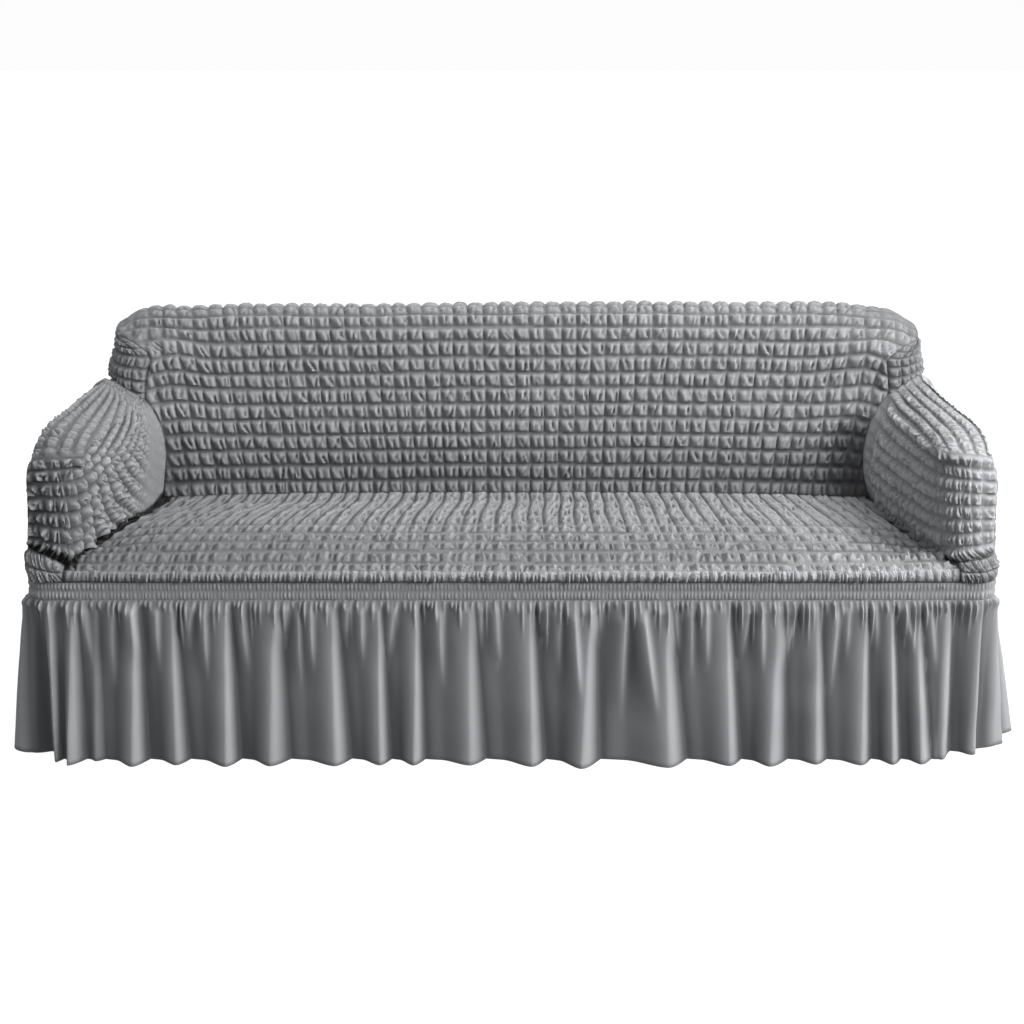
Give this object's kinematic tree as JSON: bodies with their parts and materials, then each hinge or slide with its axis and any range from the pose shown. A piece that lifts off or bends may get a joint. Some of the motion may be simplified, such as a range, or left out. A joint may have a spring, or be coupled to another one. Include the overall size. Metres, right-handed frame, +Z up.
{
  "type": "sofa slipcover",
  "caption": "Fitted stretch cover for a sofa, in puckered grey cloth, with a shirred elastic band and a gathered skirt down to the floor.",
  "frame": {"origin": "on the floor under the middle of the cover's overall box", "axes": "+X is the cover's right-hand side seen from the front, along the sofa; +Y is its back; +Z is up"},
  "size_m": [2.2548, 1.0054, 0.8847],
  "materials": {
    "inside_back": "puckered stretch knit, matte",
    "outside_back": "puckered stretch knit, matte",
    "seat": "puckered stretch knit, matte",
    "back_end_left": "puckered stretch knit, matte",
    "back_end_right": "puckered stretch knit, matte",
    "arm_face_left": "puckered stretch knit, matte",
    "arm_face_right": "puckered stretch knit, matte",
    "arm_top_left": "puckered stretch knit, matte",
    "arm_top_right": "puckered stretch knit, matte",
    "band": "shirred elastic cloth",
    "skirt": "plain brushed knit, matte"
  },
  "bodies": {
    "root": {"inside_back": "inside_back", "outside_back": "outside_back", "seat": "seat", "back_end_left": "back_end_left", "back_end_right": "back_end_right", "arm_face_left": "arm_face_left", "arm_face_right": "arm_face_right", "arm_top_left": "arm_top_left", "arm_top_right": "arm_top_right", "band": "band", "skirt": "skirt"}
  },
  "joints": []
}
